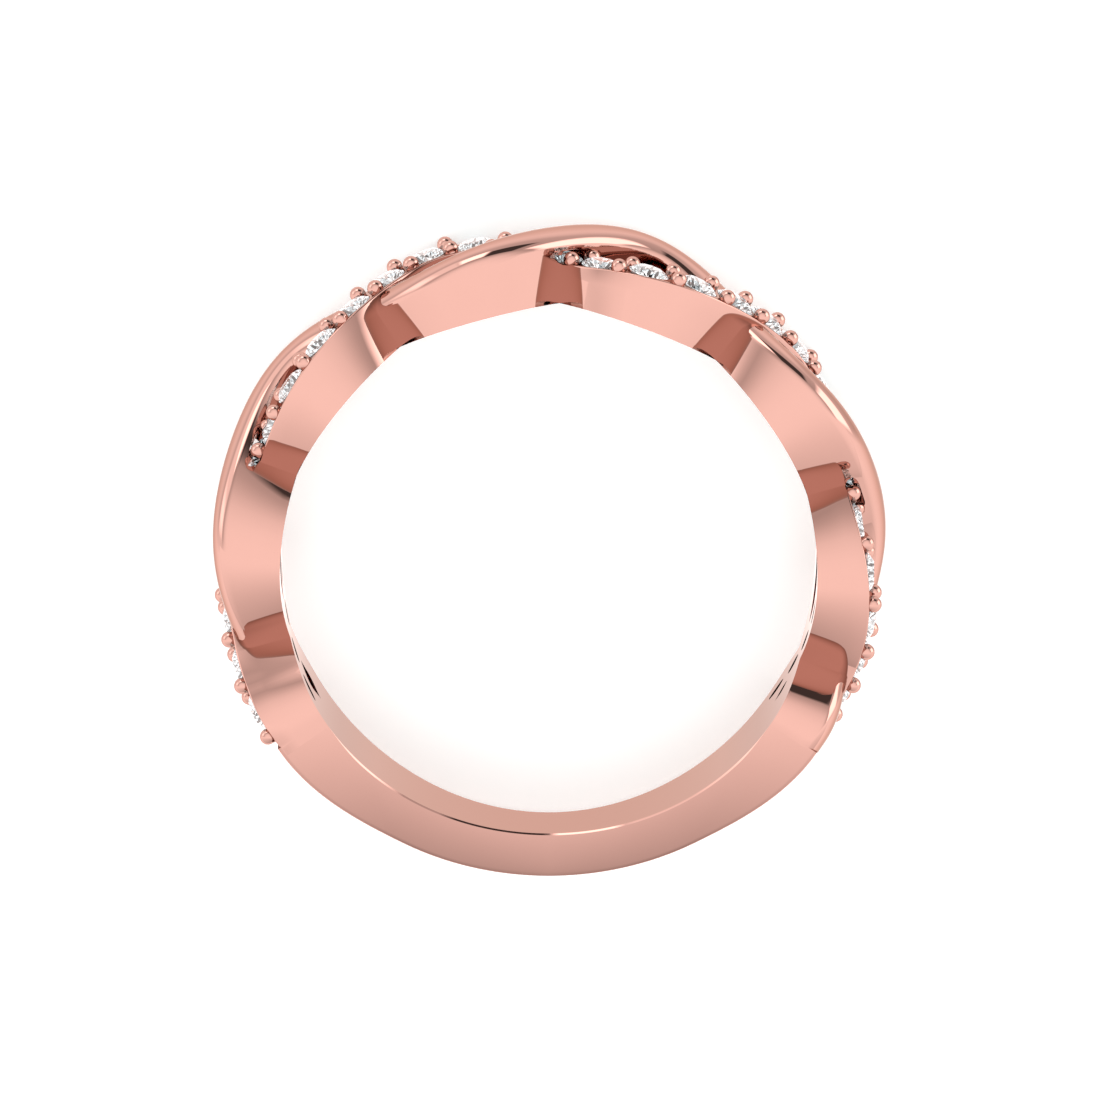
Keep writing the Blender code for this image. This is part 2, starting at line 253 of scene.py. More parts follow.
# The twist that both strands follow
twist = {
    "period": 72.0,
    "firstCrossing": 2.445,
    "swing": 1.735 * mm,
    "leftEnd": -123.0,
    "rightEnd": 123.8,
    "fingerRadius": 8.65 * mm,
}
girdleLine = {
    "girdleMean": 10.25 * mm,
    "girdleSwing": -0.276 * mm,
    "girdleSecond": -0.061 * mm,
}


def waveAt(work, angle):
    # The twist's own angle in radians: 0 where the plain strand is on top
    return (angle - work.given("firstCrossing")) * (2 * pi) / work.given("period")


def wavedHeight(work, wave, name):
    first = work.given(name + "Swing") * work.maths("COSINE", wave)
    second = work.given(name + "Second") * work.maths("COSINE", wave * 2.0)
    return work.given(name + "Mean") + first + second


def roundTheRing(work, angle, height, z):
    # A place at this angle in radians, height from the axis and z from the middle plane
    x = height * work.maths("SINE", angle)
    y = height * work.maths("COSINE", angle)
    return work.vectorMaths("ADD", work.vector(x, y, z), work.given("centre"))


# One strand: a closed section swept along the twist
plainStrand = {
    "phase": 0.0,
    "topMean": 10.74 * mm,
    "topSwing": 0.295 * mm,
    "topSecond": -0.055 * mm,
    "shoulderTop": 10.58 * mm,
    "shoulderPull": 1.0,
    "bottom": 8.36 * mm,
    "halfWidth": 0.77 * mm,
    "roundShare": 1.0,
    "roundDepth": 0.50 * mm,
    "flatShare": 0.0,
    "runOn": 0.6,
    "sections": 420,
    "profilePoints": 64,
}
stoneStrand = {
    "phase": pi,
    "topMean": 10.262 * mm,
    "topSwing": -0.276 * mm,
    "topSecond": -0.061 * mm,
    "shoulderTop": 10.43 * mm,
    "shoulderPull": 0.0,
    "bottom": 8.28 * mm,
    "halfWidth": 0.77 * mm,
    "roundShare": 0.07,
    "roundDepth": 0.05 * mm,
    "flatShare": 0.6,
    "runOn": 2.0,
    "sections": 420,
    "profilePoints": 32,
}
section = {
    "railEnd": (0.0, 0.0, 0.01),      # rail and profile only carry the points, their sizes don't count
    "profileRadius": 0.001,
    "topShare": 0.625,                # of the profile's points, the part that goes over the top
    "thirds": 3.0,                    # the rest goes down, across and up in even parts
    "leastFlat": 0.00001,             # so that nothing is divided by 0
}
shoulders = {
    "shoulderStart": 113.0,
    "shoulderHalfWidth": 2.5 * mm,
    "shoulderOverlap": 0.05 * mm,
}


def makeStrandTree(settings):
    work = GeometryWork("strand", settings)
    given = work.given
    # The rail's share of the way along and the profile's share of the way round become fields
    line = work.get("GeometryNodeCurvePrimitiveLine", None, {"End": section["railEnd"]})
    rail = work.get("GeometryNodeResampleCurve", None, {"Curve": line, "Count": given("sections")})
    circle = work.get("GeometryNodeCurvePrimitiveCircle", None,
                      {"Resolution": given("profilePoints"), "Radius": section["profileRadius"]})
    share = work.get("GeometryNodeSplineParameter")
    rail, along = work.capture(rail, share, "along")
    circle, around = work.capture(circle, share, "round")
    tube = work.get("GeometryNodeCurveToMesh", None,
                    {"Curve": rail, "Profile Curve": circle, "Fill Caps": True})

    # Where the section stands
    start = given("leftEnd") - given("runOn")
    angle = start + (given("rightEnd") + given("runOn") - start) * along
    wave = waveAt(work, angle)
    strandWave = wave + given("phase")
    z = -given("swing") * work.maths("SINE", strandWave)
    steepness = -given("swing") * work.maths("COSINE", strandWave) * 360.0 / given("period")

    # Towards the ring's ends the strands widen until they meet and fill the shank's width
    side = work.maths("SIGN", z)
    away = abs(z)
    leftward = work.maths("LESS_THAN", angle, 0.0)
    end = mix(given("rightEnd"), -given("leftEnd"), leftward)
    ramp = work.clamp((abs(angle) - given("shoulderStart")) / (end - given("shoulderStart")))
    shoulder = smooth(ramp)
    outerWidth = mix(given("halfWidth"), given("shoulderHalfWidth") - away, shoulder)
    innerWidth = mix(given("halfWidth"), away + given("shoulderOverlap"), shoulder)
    outerSide = side * 0.5 + 0.5
    lowWidth = mix(outerWidth, innerWidth, outerSide)
    highWidth = mix(innerWidth, outerWidth, outerSide)
    middle = (highWidth - lowWidth) * 0.5
    half = (highWidth + lowWidth) * 0.5
    top = wavedHeight(work, wave, "top")
    top = mix(top, given("shoulderTop"), shoulder * given("shoulderPull"))
    lean = work.maths("ARCTAN2", steepness, top) * (1.0 - shoulder)

    # The section: over the top from one side to the other, then down, across and up again
    topShare = section["topShare"]
    thirds = section["thirds"]
    over = work.maths("MINIMUM", around / topShare, 1.0)
    arcShare = (1.0 - given("flatShare")) * 0.5
    firstTurn = work.clamp(over / arcShare) * (pi / 2)
    flatShare = work.maths("MAXIMUM", given("flatShare"), section["leastFlat"])
    flat = work.clamp((over - arcShare) / flatShare)
    lastTurn = work.clamp((over - arcShare - given("flatShare")) / arcShare) * (pi / 2)
    roundWidth = half * given("roundShare")
    under = work.maths("MAXIMUM", (around - topShare) / (1.0 - topShare), 0.0)
    drop = work.clamp(thirds * work.maths("MINIMUM", under, 1.0 - under))
    across = work.clamp(thirds * under - 1.0)
    rising = roundWidth * (1.0 - work.maths("COSINE", firstTurn))
    falling = roundWidth * work.maths("SINE", lastTurn)
    offset = middle - half + rising + (half - roundWidth) * 2.0 * flat + falling - half * 2.0 * across
    lost = 2.0 - work.maths("SINE", firstTurn) - work.maths("COSINE", lastTurn)
    height = top - given("roundDepth") * lost
    height = mix(height, given("bottom"), drop)

    # Sideways steps go round the ring's curve, so that heights hold
    turn = work.maths("ARCTAN2", -work.maths("SINE", lean) * offset, top)
    place = roundTheRing(work, angle * (pi / 180) + turn, height, z + work.maths("COSINE", lean) * offset)
    swept = work.get("GeometryNodeSetPosition", None, {"Geometry": tube, "Position": place})
    work.finish(swept)
    return work.tree


# What stands in a row on the stone strand: stones, beads, seats and slots
stoneRow = {
    "eachWay": 15,
    "perPeriod": 9,
    "lengthSteps": 720,      # for the length of one turn of the twist
    "pathPoints": 4001,
    "pathReach": 130.0,      # degrees to each side of the top crossing
}


def strandPlace(angle):
    # The stone strand's path in plain numbers, for its length
    wave = radians((angle - twist["firstCrossing"]) * 360.0 / twist["period"])
    height = girdleLine["girdleMean"] + girdleLine["girdleSwing"] * cos(wave)
    height += girdleLine["girdleSecond"] * cos(2.0 * wave)
    z = twist["swing"] * sin(wave)
    return Vector((height * sin(radians(angle)), height * cos(radians(angle)), z))


def stonePitch():
    steps = stoneRow["lengthSteps"]
    angles = [twist["firstCrossing"] + twist["period"] * i / steps for i in range(steps + 1)]
    places = [strandPlace(angle) for angle in angles]
    length = sum((b - a).length for a, b in zip(places, places[1:]))
    return length / stoneRow["perPeriod"]


def makeRowTree(settings):
    work = GeometryWork("rowOnStoneStrand", settings)
    given = work.given
    # The path from end to end as a fine curve, then cut to the row's length and divided
    points = stoneRow["pathPoints"]
    reach = stoneRow["pathReach"]
    index = work.get("GeometryNodeInputIndex")
    angle = given("firstCrossing") + (index / ((points - 1) / 2) - 1.0) * reach
    wave = waveAt(work, angle)
    place = roundTheRing(work, angle * (pi / 180), wavedHeight(work, wave, "girdle"),
                         given("swing") * work.maths("SINE", wave))
    line = work.get("GeometryNodeMeshLine", None, {"Count": points})
    path = work.get("GeometryNodeSetPosition", None, {"Geometry": line, "Position": place})
    curve = work.get("GeometryNodeMeshToCurve", None, {0: path})
    length = work.get("GeometryNodeCurveLength", None, {0: curve})
    halfShare = given("pitch") * (given("count") - 1.0) * 0.5 / length
    row = work.get("GeometryNodeTrimCurve", {"mode": "FACTOR"},
                   {"Curve": curve, "Start": 0.5 - halfShare, "End": 0.5 + halfShare})
    divided = work.get("GeometryNodeResampleCurve", None, {"Curve": row, "Count": given("count")})
    marks = work.get("GeometryNodeCurveToPoints", {"mode": "EVALUATED"}, {"Curve": divided})

    # The frame at each mark: outwards, along and sideways
    here = work.vectorMaths("SUBTRACT", work.get("GeometryNodeInputPosition"), given("centre"))
    x, y, z = work.parts(here)
    ringAngle = work.maths("ARCTAN2", x, y)
    markWave = waveAt(work, ringAngle * (180 / pi))
    height = wavedHeight(work, markWave, "girdle")
    steepness = given("swing") * work.maths("COSINE", markWave) * 360.0 / given("period")
    lean = work.maths("ARCTAN2", steepness, height)
    sine = work.maths("SINE", ringAngle)
    cosine = work.maths("COSINE", ringAngle)
    outwards = work.vector(sine, cosine, 0.0)
    level = work.maths("COSINE", lean)
    rise = work.maths("SINE", lean)
    along = work.vector(cosine * level, -sine * level, rise)
    sideways = work.vector(-cosine * rise, sine * rise, level)
    turn = work.get("FunctionNodeAxesToRotation", {"primary_axis": "Z", "secondary_axis": "X"},
                    {0: outwards, 1: along})

    lifted = work.vectorMaths("ADD", here, work.scaled(outwards, given("lift")))
    lifted = work.vectorMaths("ADD", lifted, given("centre"))
    thing = work.add("GeometryNodeObjectInfo", {"transform_space": "ORIGINAL"}, {"Object": given("thing")})
    shape = Value(work, thing.outputs["Geometry"])
    rows = []
    for direction in (1.0, -1.0):
        step = work.scaled(sideways, given("sideStep") * direction)
        stand = work.vectorMaths("ADD", lifted, step)
        placed = work.get("GeometryNodeSetPosition", None, {"Geometry": marks, "Position": stand})
        copies = work.get("GeometryNodeInstanceOnPoints", None,
                          {"Points": placed, "Instance": shape, "Rotation": turn})
        rows.append(copies)
    second = work.get("GeometryNodeSwitch", {"input_type": "GEOMETRY"},
                      {"Switch": given("bothSides"), "True": rows[1]})
    joined = work.tree.nodes.new("GeometryNodeJoinGeometry")
    for copies in (second, rows[0]):
        work.tree.links.new(copies.socket, joined.inputs[0])
    work.finish(Value(work, joined.outputs[0]))
    return work.tree


# Meshes built point by point: a section lofted round the ring, and turned shapes
def loftRings(name, rings):
    bm = bmesh.new()
    loops = [[bm.verts.new(point) for point in ring] for ring in rings]
    count = len(loops[0])
    for near, far in zip(loops, loops[1:]):
        for i in range(count):
            j = (i + 1) % count
            bm.faces.new((near[i], near[j], far[j], far[i]))
    bm.faces.new(loops[0])
    bm.faces.new(reversed(loops[-1]))
    bmesh.ops.recalc_face_normals(bm, faces=bm.faces)
    return meshFrom(bm, name)


def turnProfile(name, profile, sides):
    # Rings for each (radius, height); a radius of 0 is a pole
    bm = bmesh.new()
    rows = []
    for radius, height in profile:
        if radius == 0.0:
            rows.append([bm.verts.new((0.0, 0.0, height))])
            continue
        angles = [2.0 * pi * (i + 0.5) / sides for i in range(sides)]
        rows.append([bm.verts.new((radius * cos(a), radius * sin(a), height)) for a in angles])
    for upper, lower in zip(rows, rows[1:]):
        for i in range(sides):
            j = (i + 1) % sides
            if len(upper) == 1:
                bm.faces.new((upper[0], lower[i], lower[j]))
            elif len(lower) == 1:
                bm.faces.new((upper[i], lower[0], upper[j]))
            else:
                bm.faces.new((upper[i], lower[i], lower[j], upper[j]))
    bmesh.ops.recalc_face_normals(bm, faces=bm.faces)
    return meshFrom(bm, name)


def arcPoints(centre, radius, first, last, steps):
    # Points on an arc in (across, up), from one angle to the other in degrees
    points = []
    for i in range(steps + 1):
        turn = radians(mix(first, last, i / steps))
        points.append((centre[0] + radius * cos(turn), centre[1] + radius * sin(turn)))
    return points


shank = {
    "bottomHalfWidth": 1.70 * mm,
    "outerRadius": 10.07 * mm,
    "shoulderRadius": 10.43 * mm,
    "flareStart": 28.0,
    "setback": 0.2,
    "edgeRadius": 0.14 * mm,
    "innerChamfer": 0.05 * mm,
    "leastChamfer": 0.001 * mm,
    "chamferFade": (44.0, 55.0),      # degrees from the bottom
    "blankRadius": 8.20 * mm,
    "sections": 180,
    "edgeSteps": 6,
}


def makeShank(centre):
    first = twist["rightEnd"] + shank["setback"]
    last = 360.0 + twist["leftEnd"] - shank["setback"]
    rings = []
    for i in range(shank["sections"] + 1):
        angle = mix(first, last, i / shank["sections"])
        fromBottom = abs(angle - 180.0)
        spread = 180.0 - first if angle < 180.0 else last - 180.0
        flare = sin(pi / 2 * fromBottom / spread) ** 2
        half = mix(shank["bottomHalfWidth"], shoulders["shoulderHalfWidth"], flare)
        rise = smoothStep(shank["flareStart"], spread, fromBottom)
        outer = mix(shank["outerRadius"], shank["shoulderRadius"], rise)
        edge = shank["edgeRadius"]
        # The inner edge's chamfer fades out at the shoulders
        kept = 1.0 - smoothStep(*shank["chamferFade"], fromBottom)
        chamfer = shank["innerChamfer"] * kept + shank["leastChamfer"]
        inner = twist["fingerRadius"]
        blank = shank["blankRadius"]
        outline = [(-half + chamfer, blank), (-half + chamfer, inner), (-half, inner + chamfer)]
        outline += arcPoints((-half + edge, outer - edge), edge, 180.0, 90.0, shank["edgeSteps"])
        outline += arcPoints((half - edge, outer - edge), edge, 90.0, 0.0, shank["edgeSteps"])
        outline += [(half, inner + chamfer), (half - chamfer, inner), (half - chamfer, blank)]
        outwards = Vector((sin(radians(angle)), cos(radians(angle)), 0.0))
        rings.append([centre + outwards * r + Vector((0.0, 0.0, z)) for z, r in outline])
    return loftRings("shank", rings)


# Cutters: the finger hole, seats, slots and the hollows where the plain strand bridges the stones
cuts = {
    "holeSides": 720,
    "holeHalfHeight": 8.0 * mm,
    "seatRadius": 0.695 * mm,
    "seatTopAboveGirdle": 0.42 * mm,
    "seatSides": 48,
    "slotHalfLength": 0.48 * mm,
    "slotHalfWidth": 0.21 * mm,
    "slotTopBelowGirdle": 0.34 * mm,
    "slotDepth": 2.4 * mm,
    "slotSides": 24,
    "bridgeRadius": 1.20 * mm,
    "bridgeRounding": 0.35 * mm,
    "bridgeTopShare": 0.4,
    "bridgeCeiling": 10.36 * mm,
    "bridgeFloorBelowWall": 0.03 * mm,
    "bridgeSides": 64,
    "bridgeArcSteps": (4, 8),
    "bridgeTurns": (-1, 0, 1),        # turns of the twist away from the top crossing
}
stone = {
    "radius": 0.675 * mm,
    "tableRadius": 0.385 * mm,
    "crownHeight": 0.205 * mm,
    "girdleHalf": 0.012 * mm,
    "pavilionDepth": 0.58 * mm,
    "lowerHalfShare": 0.23,
    "mainShades": (1.0, 0.4),      # painted shade: how dark the main facets below the girdle are drawn, in turn, for the dark surroundings a cut stone mirrors
    "mirrorShare": 1.0,            # how far the facets below the girdle turn light back
}


def makeSeat():
    slope = stone["pavilionDepth"] / stone["radius"]
    gap = cuts["seatRadius"] - stone["radius"]
    tip = -stone["girdleHalf"] - stone["pavilionDepth"] - gap * sqrt(1.0 + slope * slope)
    flat = cuts["seatRadius"]
    profile = [
        (0.0, cuts["seatTopAboveGirdle"]),
        (flat, cuts["seatTopAboveGirdle"]),
        (flat, tip + flat * slope),
        (0.0, tip),
    ]
    return turnProfile("seat", profile, cuts["seatSides"])


def makeSlot():
    profile = [(0.0, 0.0), (1.0, 0.0), (1.0, -cuts["slotDepth"]), (0.0, -cuts["slotDepth"])]
    mesh = turnProfile("slot", profile, cuts["slotSides"])
    mesh.transform(Matrix.Diagonal((cuts["slotHalfLength"], cuts["slotHalfWidth"], 1.0, 1.0)))
    return mesh


def makeBridges(centre):
    # Round hollows through the plain strand, at each crossing where it passes over the stones
    crossing = strandPlace(twist["firstCrossing"]).xy.length
    wallTop = crossing + stoneStrand["topMean"] - girdleLine["girdleMean"]
    floorHeight = wallTop - cuts["bridgeFloorBelowWall"]
    rounding = cuts["bridgeRounding"]
    topRounding = rounding * cuts["bridgeTopShare"]
    wide = cuts["bridgeRadius"]
    ceiling = cuts["bridgeCeiling"]
    topSteps, lowSteps = cuts["bridgeArcSteps"]
    profile = [(0.0, ceiling)]
    profile += arcPoints((wide - rounding, ceiling - topRounding), topRounding, 90.0, 0.0, topSteps)
    profile[1] = (wide - rounding, ceiling)      # exactly level with the middle
    profile += arcPoints((wide - rounding, floorHeight + rounding), rounding, 0.0, -90.0, lowSteps)
    profile.append((0.0, floorHeight))
    mesh = turnProfile("bridge", profile, cuts["bridgeSides"])
    bm = bmesh.new()
    for turns in cuts["bridgeTurns"]:
        angle = radians(twist["firstCrossing"] + turns * twist["period"])
        start = len(bm.verts)
        bm.from_mesh(mesh)
        bm.verts.ensure_lookup_table()
        outwards = Vector((sin(angle), cos(angle), 0.0))
        turn = outwards.to_track_quat("Z", "X").to_matrix().to_4x4()
        bmesh.ops.transform(bm, matrix=Matrix.Translation(centre) @ turn, verts=bm.verts[start:])
    return meshFrom(bm, "bridges")


def makeHole(centre):
    tall = cuts["holeHalfHeight"]
    profile = [(0.0, tall), (twist["fingerRadius"], tall), (twist["fingerRadius"], -tall), (0.0, -tall)]
    mesh = turnProfile("hole", profile, cuts["holeSides"])
    mesh.transform(Matrix.Translation(centre))
    return mesh


def cutAndJoin(target, steps):
    # Each step is a tool's mesh and what is done with it; the result is one plain mesh
    helpers = []
    for name, mesh, operation in steps:
        helper = makeObject(name + "Tool", mesh)
        helpers.append(helper)
        modifier = target.modifiers.new(name, "BOOLEAN")
        modifier.object = helper
        modifier.operation = operation
        modifier.solver = "MANIFOLD"
    evaluated = target.evaluated_get(bpy.context.evaluated_depsgraph_get())
    done = bpy.data.meshes.new_from_object(evaluated)
    target.modifiers.clear()
    target.data = done
    for helper in helpers:
        bpy.data.objects.remove(helper)


# Round brilliant: table, 8 stars, 8 kites, 16 upper and 16 lower halves, 8 mains
def makeBrilliant():
    bm = bmesh.new()
    size = stone["radius"]
    high = stone["girdleHalf"] + stone["crownHeight"]
    starRadius = (stone["tableRadius"] * cos(pi / 8) + size) / 2

    def ring(radius, height, count, turn=0.0):
        angles = [2.0 * pi * i / count + turn for i in range(count)]
        return [bm.verts.new((radius * cos(a), radius * sin(a), height)) for a in angles]

    crownShare = (size - starRadius * cos(pi / 8)) / (size - stone["tableRadius"])
    starHeight = stone["girdleHalf"] + stone["crownHeight"] * crownShare
    lowerRadius = size * stone["lowerHalfShare"]
    pavilionShare = 1.0 - stone["lowerHalfShare"] * cos(pi / 8)
    lowerHeight = -stone["girdleHalf"] - stone["pavilionDepth"] * pavilionShare
    table = ring(stone["tableRadius"], high, 8)
    stars = ring(starRadius, starHeight, 8, pi / 8)
    upper = ring(size, stone["girdleHalf"], 16)
    lower = ring(size, -stone["girdleHalf"], 16)
    pavilion = ring(lowerRadius, lowerHeight, 8, pi / 8)
    culet = bm.verts.new((0.0, 0.0, -stone["girdleHalf"] - stone["pavilionDepth"]))
    # Each main facet's painted shade, and how much the facets below the girdle mirror
    shade = bm.faces.layers.float.new("facetShade")
    mirror = bm.faces.layers.float.new("facetMirror")
    bm.faces.new(table)
    for i in range(8):
        j = (i + 1) % 8
        before = (i - 1) % 8
        tip = 2 * i
        middle = 2 * i + 1
        bm.faces.new((table[i], stars[i], table[j]))
        bm.faces.new((table[i], stars[before], upper[tip], stars[i]))
        bm.faces.new((stars[i], upper[tip], upper[middle]))
        bm.faces.new((stars[i], upper[middle], upper[2 * j]))
        nearHalf = bm.faces.new((pavilion[i], lower[middle], lower[tip]))
        farHalf = bm.faces.new((pavilion[i], lower[2 * j], lower[middle]))
        main = bm.faces.new((culet, pavilion[i], lower[tip], pavilion[before]))
        main[shade] = stone["mainShades"][i % 2]
        for facet in (nearHalf, farHalf, main):
            facet[mirror] = stone["mirrorShare"]
    for i in range(16):
        j = (i + 1) % 16
        bm.faces.new((upper[i], lower[i], lower[j], upper[j]))
    bmesh.ops.recalc_face_normals(bm, faces=bm.faces)
    return meshFrom(bm, "brilliant")


bead = {
    "radius": 0.262 * mm,
    "aboveGirdle": 0.14 * mm,
    "sideStep": 0.53 * mm,
    "footAngle": -60.0,
    "sides": 28,
    "rows": 16,
}


def makeBead():
    profile = arcPoints((0.0, 0.0), bead["radius"], 90.0, bead["footAngle"], bead["rows"])
    profile[0] = (0.0, bead["radius"])
    profile.append((0.0, profile[-1][1]))
    return turnProfile("bead", profile, bead["sides"])


# Finishes
gold = {
    "colour": (0.512, 0.327, 0.285, 1.0),
    "deepColour": (0.496, 0.3136, 0.272, 1.0),
    "edgeTint": (0.60, 0.51, 0.47, 1.0),
    "roughness": (0.015, 0.04),
    "clouds": {"size": 1.6 * mm, "detail": 3.0},
    "scratches": {"size": 0.05 * mm, "detail": 2.0, "roughness": 0.6, "stretch": (1.0, 1.0, 0.15)},
    "scratchDepth": 0.00004 * mm,
    "scratchStrength": 0.4,
    "scratchWear": (0.6, 0.8),        # what is left of the roughness between scratches, what they add
}
diamond = {
    "colour": (0.90, 0.985, 1.0, 1.0),
    "backColour": (0.95, 0.97, 0.98, 1.0),
    "darkColour": (0.02, 0.022, 0.026, 1.0),
    "ior": 2.42,
    "fire": 0.16,        # a painted glow on the facets below the girdle, standing in for the light a cut stone gathers
}
floorFinish = {
    "colour": (0.79, 0.93, 0.96, 1.0),
    "otherColour": (0.77, 0.905, 0.935, 1.0),
    "roughness": 0.6,
    "glow": 0.20,        # a light table's faint glow
    "specks": {"size": 0.6 * mm, "detail": 4.0, "roughness": 0.6},
}


def newMaterial(name):
    material = bpy.data.materials.new(name)
    material.use_nodes = True
    material.node_tree.nodes.clear()
    return material, NodeWork(material.node_tree)


def closeMaterial(work, shader):
    output = work.tree.nodes.new("ShaderNodeOutputMaterial")
    work.tree.links.new(shader.socket, output.inputs["Surface"])


def noise(work, size, detail, roughness=0.5, stretch=None):
    place = work.get("ShaderNodeTexCoord", output="Object")
    if stretch:
        place = work.get("ShaderNodeMapping", None, {"Vector": place, "Scale": stretch})
    return work.get("ShaderNodeTexNoise", None,
                    {"Vector": place, "Scale": 1.0 / size, "Detail": detail, "Roughness": roughness})


def makeGold():
    material, work = newMaterial("roseGold")
    clouds = noise(work, **gold["clouds"])
    fine = noise(work, **gold["scratches"])
    colour = work.get("ShaderNodeMix", {"data_type": "RGBA"},
                      {"Factor": clouds, 6: gold["colour"], 7: gold["deepColour"]}, output=2)
    low, high = gold["roughness"]
    steady, scratched = gold["scratchWear"]
    worn = low + (high - low) * clouds * (steady + scratched * fine)
    bump = work.get("ShaderNodeBump", None, {
        "Strength": gold["scratchStrength"], "Distance": gold["scratchDepth"], "Height": fine,
    })
    shader = work.get("ShaderNodeBsdfPrincipled", None, {
        "Base Color": colour, "Metallic": 1.0, "Roughness": worn, "Normal": bump,
        "Specular Tint": gold["edgeTint"],
    })
    closeMaterial(work, shader)
    return material


def makeDiamond():
    material, work = newMaterial("diamond")
    clear = work.get("ShaderNodeBsdfPrincipled", None, {
        "Base Color": diamond["colour"], "Roughness": 0.0, "IOR": diamond["ior"],
        "Transmission Weight": 1.0,
    })
    # Painted shade: the marked main facets are drawn near black, for the dark reflections of a cut stone
    paintedDarkFacet = work.get("ShaderNodeBsdfPrincipled", None, {
        "Base Color": diamond["darkColour"], "Roughness": 0.0, "Specular IOR Level": 0.0,
    })
    # Light that reaches a facet below the girdle from inside turns back, as in a well cut stone; these
    # facets also carry a painted glow
    mirrorWithGlow = work.get("ShaderNodeBsdfPrincipled", None, {
        "Base Color": diamond["backColour"], "Roughness": 0.0, "Metallic": 1.0,
        "Emission Color": diamond["backColour"], "Emission Strength": diamond["fire"],
    })
    mirror = work.get("ShaderNodeAttribute", {"attribute_name": "facetMirror"}, output=2)
    shade = work.get("ShaderNodeAttribute", {"attribute_name": "facetShade"}, output=2)
    backed = work.get("ShaderNodeMixShader", None, {0: mirror, 1: clear, 2: mirrorWithGlow})
    closeMaterial(work, work.get("ShaderNodeMixShader", None, {0: shade, 1: backed, 2: paintedDarkFacet}))
    return material


def makeFloorFinish():
    material, work = newMaterial("palePaper")
    specks = noise(work, **floorFinish["specks"])
    colour = work.get("ShaderNodeMix", {"data_type": "RGBA"},
                      {"Factor": specks, 6: floorFinish["colour"], 7: floorFinish["otherColour"]}, output=2)
    shader = work.get("ShaderNodeBsdfPrincipled", None, {
        "Base Color": colour, "Roughness": floorFinish["roughness"], "Specular IOR Level": 0.0,
        "Emission Color": (1.0, 1.0, 1.0, 1.0), "Emission Strength": floorFinish["glow"],
    })
    closeMaterial(work, shader)
    return material


goldFinish = makeGold()
diamondFinish = makeDiamond()
print("finishes ready")

# The two strands
shared = {**twist, **shoulders, "centre": ringCentre, "material": goldFinish}
strandTree = makeStrandTree({**plainStrand, **shared})
plainMesh = closeUp(growMesh("plainStrand", strandTree, {**plainStrand, **shared}))
stoneMesh = closeUp(growMesh("stoneStrand", strandTree, {**stoneStrand, **shared}))
print("strands swept:", len(plainMesh.polygons), len(stoneMesh.polygons))

# Rows on the stone strand
rowBase = {
    **twist, **girdleLine, "centre": ringCentre, "material": goldFinish,
    "pitch": stonePitch(), "count": 2 * stoneRow["eachWay"] + 1,
    "lift": 0.0, "sideStep": 0.0, "bothSides": False,
}


def growRow(name, shape, changes):
    row = growMesh(name, rowTree, {**rowBase, "thing": shape, **changes})
    bpy.data.objects.remove(shape)
    return row


seatShape = makeObject("seatShape", makeSeat())
rowTree = makeRowTree({**rowBase, "thing": seatShape})
seats = growRow("seats", seatShape, {})
slots = growRow("slots", makeObject("slotShape", makeSlot()), {"lift": -cuts["slotTopBelowGirdle"]})
brilliants = growRow("brilliants", makeObject("brilliantShape", makeBrilliant()), {
    "material": diamondFinish,
})
beads = growRow("beads", makeObject("beadShape", makeBead()), {
    "count": 2 * stoneRow["eachWay"] + 2, "lift": bead["aboveGirdle"],
    "sideStep": bead["sideStep"], "bothSides": True,
})
print("rows grown:", [len(row.polygons) for row in (seats, slots, brilliants, beads)])

# Edges that turn by more than this many degrees stay sharp
sharpAngles = {
    "metal": 28.0,
    "beads": 60.0,
}

# The metal: strands and shank joined, then pierced
metal = makeObject("ringMetal", plainMesh)
shankMesh = makeShank(ringCentre)
shankMesh.materials.append(goldFinish)
cutAndJoin(metal, [
    ("bridges", makeBridges(ringCentre), "DIFFERENCE"),
    ("stoneStrand", stoneMesh, "UNION"),
    ("shank", shankMesh, "UNION"),
    ("hole", makeHole(ringCentre), "DIFFERENCE"),
    ("slots", slots, "DIFFERENCE"),
    ("seats", seats, "DIFFERENCE"),
])
metal.data.materials.clear()
metal.data.materials.append(goldFinish)
closeUp(metal.data)
polish(metal.data, sharpAngles["metal"])
print("metal joined:", len(metal.data.polygons), "faces")

beadObject = makeObject("grainBeads", closeUp(beads))
polish(beadObject.data, sharpAngles["beads"])
stoneObject = makeObject("roundBrilliants", brilliants)

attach(metal, "root")
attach(beadObject, "root")
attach(stoneObject, "root")
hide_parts("band")
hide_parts("band")
stoneNodes = [f"stone_{number:02d}" for number in range(1, 2 * stoneRow["eachWay"] + 2)]
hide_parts(*stoneNodes)

# Camera, floor and light
camera = {
    "distance": 800.0 * mm,
    "elevation": 11.356,        # towards +Y from the ring's axis
    "pixelsPerMm": 30.991,
    "centrePixel": (548.69, 560.55),
    "imagePixels": 1100.0,
    "sensor": 36.0,
    "clipStart": 0.01,
    "clipEnd": 10.0,
}


def makeCamera():
    data = bpy.data.cameras.new("camera")
    data.sensor_width = camera["sensor"]
    data.sensor_fit = "HORIZONTAL"
    frameWidth = camera["imagePixels"] / camera["pixelsPerMm"] * mm
    data.lens = camera["sensor"] * camera["distance"] / frameWidth
    half = camera["imagePixels"] / 2
    data.shift_x = (half - camera["centrePixel"][0]) / camera["imagePixels"]
    data.shift_y = (camera["centrePixel"][1] - half) / camera["imagePixels"]
    data.clip_start = camera["clipStart"]
    data.clip_end = camera["clipEnd"]
    obj = bpy.data.objects.new("camera", data)
    scene.collection.objects.link(obj)
    tilt = radians(camera["elevation"])
    away = Vector((0.0, sin(tilt), cos(tilt)))
    up = Vector((0.0, cos(tilt), -sin(tilt)))
    right = up.cross(away)
    turn = Matrix((right, up, away)).transposed().to_4x4()
    obj.matrix_world = Matrix.Translation(ringCentre + away * camera["distance"]) @ turn
    scene.camera = obj


